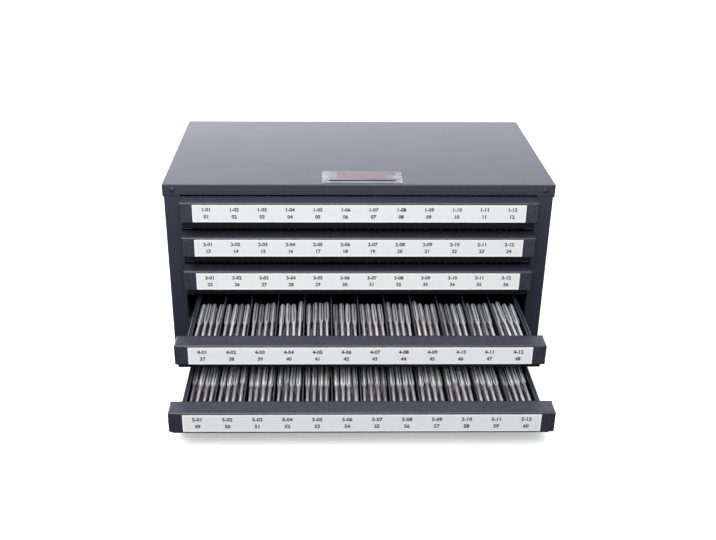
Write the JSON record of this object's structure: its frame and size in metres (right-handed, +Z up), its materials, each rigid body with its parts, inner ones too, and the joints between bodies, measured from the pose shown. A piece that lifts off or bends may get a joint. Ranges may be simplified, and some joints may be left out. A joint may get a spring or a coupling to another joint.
{
  "type": "tap and die drawer cabinet",
  "caption": "Bench-top sheet-steel cabinet of shallow drawers divided into narrow compartments for taps and dies, with full-width hollow pulls that carry label strips.",
  "frame": {"origin": "centre of the case's underside, on the surface that it stands on", "axes": "+X to the right along the drawer fronts, +Y to the back, +Z up"},
  "size_m": [0.375, 0.3598, 0.1972],
  "materials": {
    "case_paint": "satin slate blue-grey powder coat",
    "drawer_paint": "satin dark slate powder coat",
    "pull_paint": "satin dark slate powder coat",
    "runner_steel": "zinc plated",
    "painted_rivet": "painted over with the case",
    "plated_rivet": "plain",
    "label_card": "white printed strip",
    "tap_steel": "ground tool steel",
    "label_ink": "dark printing ink",
    "foil": "silvery film with a red band"
  },
  "bodies": {
    "case": {"top_cover": "case_paint", "left_side_panel": "case_paint", "right_side_panel": "case_paint", "back_panel": "case_paint", "base_pan": "case_paint", "foil_label": "foil", "case_rivets": "painted_rivet", "runner_rivets": "plated_rivet", "left_runner_1": "runner_steel", "left_runner_2": "runner_steel", "left_runner_3": "runner_steel", "left_runner_4": "runner_steel", "left_runner_5": "runner_steel", "right_runner_1": "runner_steel", "right_runner_2": "runner_steel", "right_runner_3": "runner_steel", "right_runner_4": "runner_steel", "right_runner_5": "runner_steel"},
    "drawer_1": {"drawer_1_tray": "drawer_paint", "drawer_1_dividers": "drawer_paint", "drawer_1_front_plate": "drawer_paint", "drawer_1_pull": "pull_paint", "drawer_1_label": "label_card", "drawer_1_left_rail": "runner_steel", "drawer_1_right_rail": "runner_steel", "drawer_1_rivets": "plated_rivet"},
    "drawer_2": {"drawer_2_tray": "drawer_paint", "drawer_2_dividers": "drawer_paint", "drawer_2_front_plate": "drawer_paint", "drawer_2_pull": "pull_paint", "drawer_2_label": "label_card", "drawer_2_left_rail": "runner_steel", "drawer_2_right_rail": "runner_steel", "drawer_2_rivets": "plated_rivet"},
    "drawer_3": {"drawer_3_tray": "drawer_paint", "drawer_3_dividers": "drawer_paint", "drawer_3_front_plate": "drawer_paint", "drawer_3_pull": "pull_paint", "drawer_3_label": "label_card", "drawer_3_left_rail": "runner_steel", "drawer_3_right_rail": "runner_steel", "drawer_3_rivets": "plated_rivet"},
    "drawer_4": {"drawer_4_tray": "drawer_paint", "drawer_4_dividers": "drawer_paint", "drawer_4_front_plate": "drawer_paint", "drawer_4_pull": "pull_paint", "drawer_4_label": "label_card", "drawer_4_left_rail": "runner_steel", "drawer_4_right_rail": "runner_steel", "drawer_4_rivets": "plated_rivet"},
    "drawer_5": {"drawer_5_tray": "drawer_paint", "drawer_5_dividers": "drawer_paint", "drawer_5_front_plate": "drawer_paint", "drawer_5_pull": "pull_paint", "drawer_5_label": "label_card", "drawer_5_left_rail": "runner_steel", "drawer_5_right_rail": "runner_steel", "drawer_5_rivets": "plated_rivet"}
  },
  "joints": [
    {"name": "drawer_1_slide", "type": "slide", "parent": "case", "child": "drawer_1", "axis": [0, -1, 0], "range_m": [0, 0.15]},
    {"name": "drawer_2_slide", "type": "slide", "parent": "case", "child": "drawer_2", "axis": [0, -1, 0], "range_m": [0, 0.15]},
    {"name": "drawer_3_slide", "type": "slide", "parent": "case", "child": "drawer_3", "axis": [0, -1, 0], "range_m": [0, 0.15]},
    {"name": "drawer_4_slide", "type": "slide", "parent": "case", "child": "drawer_4", "axis": [0, -1, 0], "range_m": [-0.081, 0.069]},
    {"name": "drawer_5_slide", "type": "slide", "parent": "case", "child": "drawer_5", "axis": [0, -1, 0], "range_m": [-0.136, 0.014]}
  ]
}
